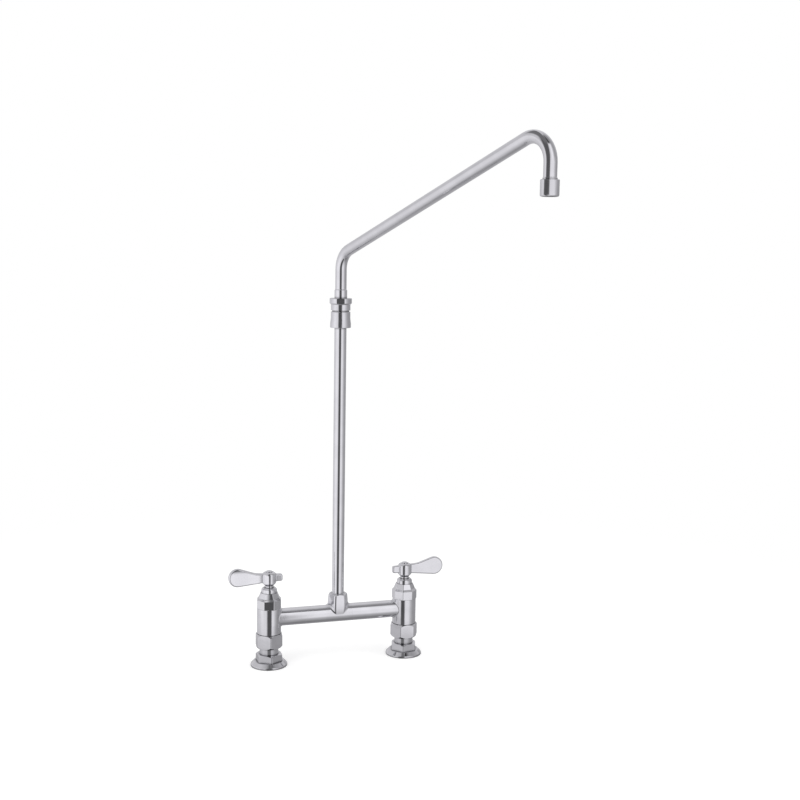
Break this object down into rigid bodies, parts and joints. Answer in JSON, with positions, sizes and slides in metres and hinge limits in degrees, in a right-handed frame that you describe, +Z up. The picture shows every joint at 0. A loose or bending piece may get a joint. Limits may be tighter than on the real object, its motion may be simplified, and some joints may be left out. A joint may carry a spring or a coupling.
{
  "type": "bridge mixer tap",
  "caption": "Deck-mounted bridge mixer tap with quarter-turn levers on faceted bonnets, a tall riser pipe and a long bent spout that swings, ending in an aerator.",
  "frame": {"origin": "midway between the two inlet axes, on the deck that the flanges rest on", "axes": "+Z up along the riser, +X along the bridge from the hot inlet to the cold inlet, -Y towards the user"},
  "size_m": [0.3202, 0.4169, 0.7379],
  "materials": {
    "cast_chrome": "polished chrome plate on cast and machined brass",
    "tube_chrome": "polished chrome plate on drawn brass tube",
    "lever_chrome": "polished chrome plate on cast levers",
    "brass": "machined",
    "rubber": "moulded, matt",
    "ceramic": "lapped alumina",
    "nylon": "moulded",
    "stainless": "plain stainless steel"
  },
  "bodies": {
    "mixer": {"hot_inlet_flange": "cast_chrome", "hot_union_tailpiece": "cast_chrome", "hot_union_washer": "rubber", "hot_union_nut": "cast_chrome", "hot_valve_body": "cast_chrome", "hot_cartridge_seal": "rubber", "hot_cartridge_body": "brass", "hot_fixed_disc": "ceramic", "hot_bonnet_seal": "rubber", "hot_bonnet": "cast_chrome", "hot_bridge_tube": "tube_chrome", "cold_inlet_flange": "cast_chrome", "cold_union_tailpiece": "cast_chrome", "cold_union_washer": "rubber", "cold_union_nut": "cast_chrome", "cold_valve_body": "cast_chrome", "cold_cartridge_seal": "rubber", "cold_cartridge_body": "brass", "cold_fixed_disc": "ceramic", "cold_bonnet_seal": "rubber", "cold_bonnet": "cast_chrome", "cold_bridge_tube": "tube_chrome", "outlet_tee": "cast_chrome", "riser_pipe": "tube_chrome", "swivel_body": "cast_chrome", "swivel_nut": "cast_chrome", "swivel_bearing_ring": "nylon"},
    "hot_lever": {"hot_moving_disc": "ceramic", "hot_spindle": "brass", "hot_spindle_orings": "rubber", "hot_spindle_clip": "stainless", "hot_handle": "lever_chrome", "hot_handle_screw": "stainless", "hot_index_cap": "lever_chrome"},
    "cold_lever": {"cold_moving_disc": "ceramic", "cold_spindle": "brass", "cold_spindle_orings": "rubber", "cold_spindle_clip": "stainless", "cold_handle": "lever_chrome", "cold_handle_screw": "stainless", "cold_index_cap": "lever_chrome"},
    "spout": {"swivel_orings": "rubber", "spout_snap_ring": "stainless", "spout_ferrule": "tube_chrome", "spout_tube": "tube_chrome", "outlet_collar": "cast_chrome", "aerator_housing": "cast_chrome", "aerator_washer": "rubber", "aerator_insert": "nylon", "aerator_screen": "stainless"}
  },
  "joints": [
    {"name": "hot_lever_turn", "type": "hinge", "parent": "mixer", "child": "hot_lever", "pos_m": [-0.1016, 0, 0.128], "axis": [0, 0, 1], "range_deg": [0, 90]},
    {"name": "cold_lever_turn", "type": "hinge", "parent": "mixer", "child": "cold_lever", "pos_m": [0.1016, 0, 0.128], "axis": [0, 0, 1], "range_deg": [-90, 0]},
    {"name": "spout_swing", "type": "hinge", "parent": "mixer", "child": "spout", "pos_m": [0, 0, 0.519], "axis": [0, 0, 1], "continuous": true}
  ]
}
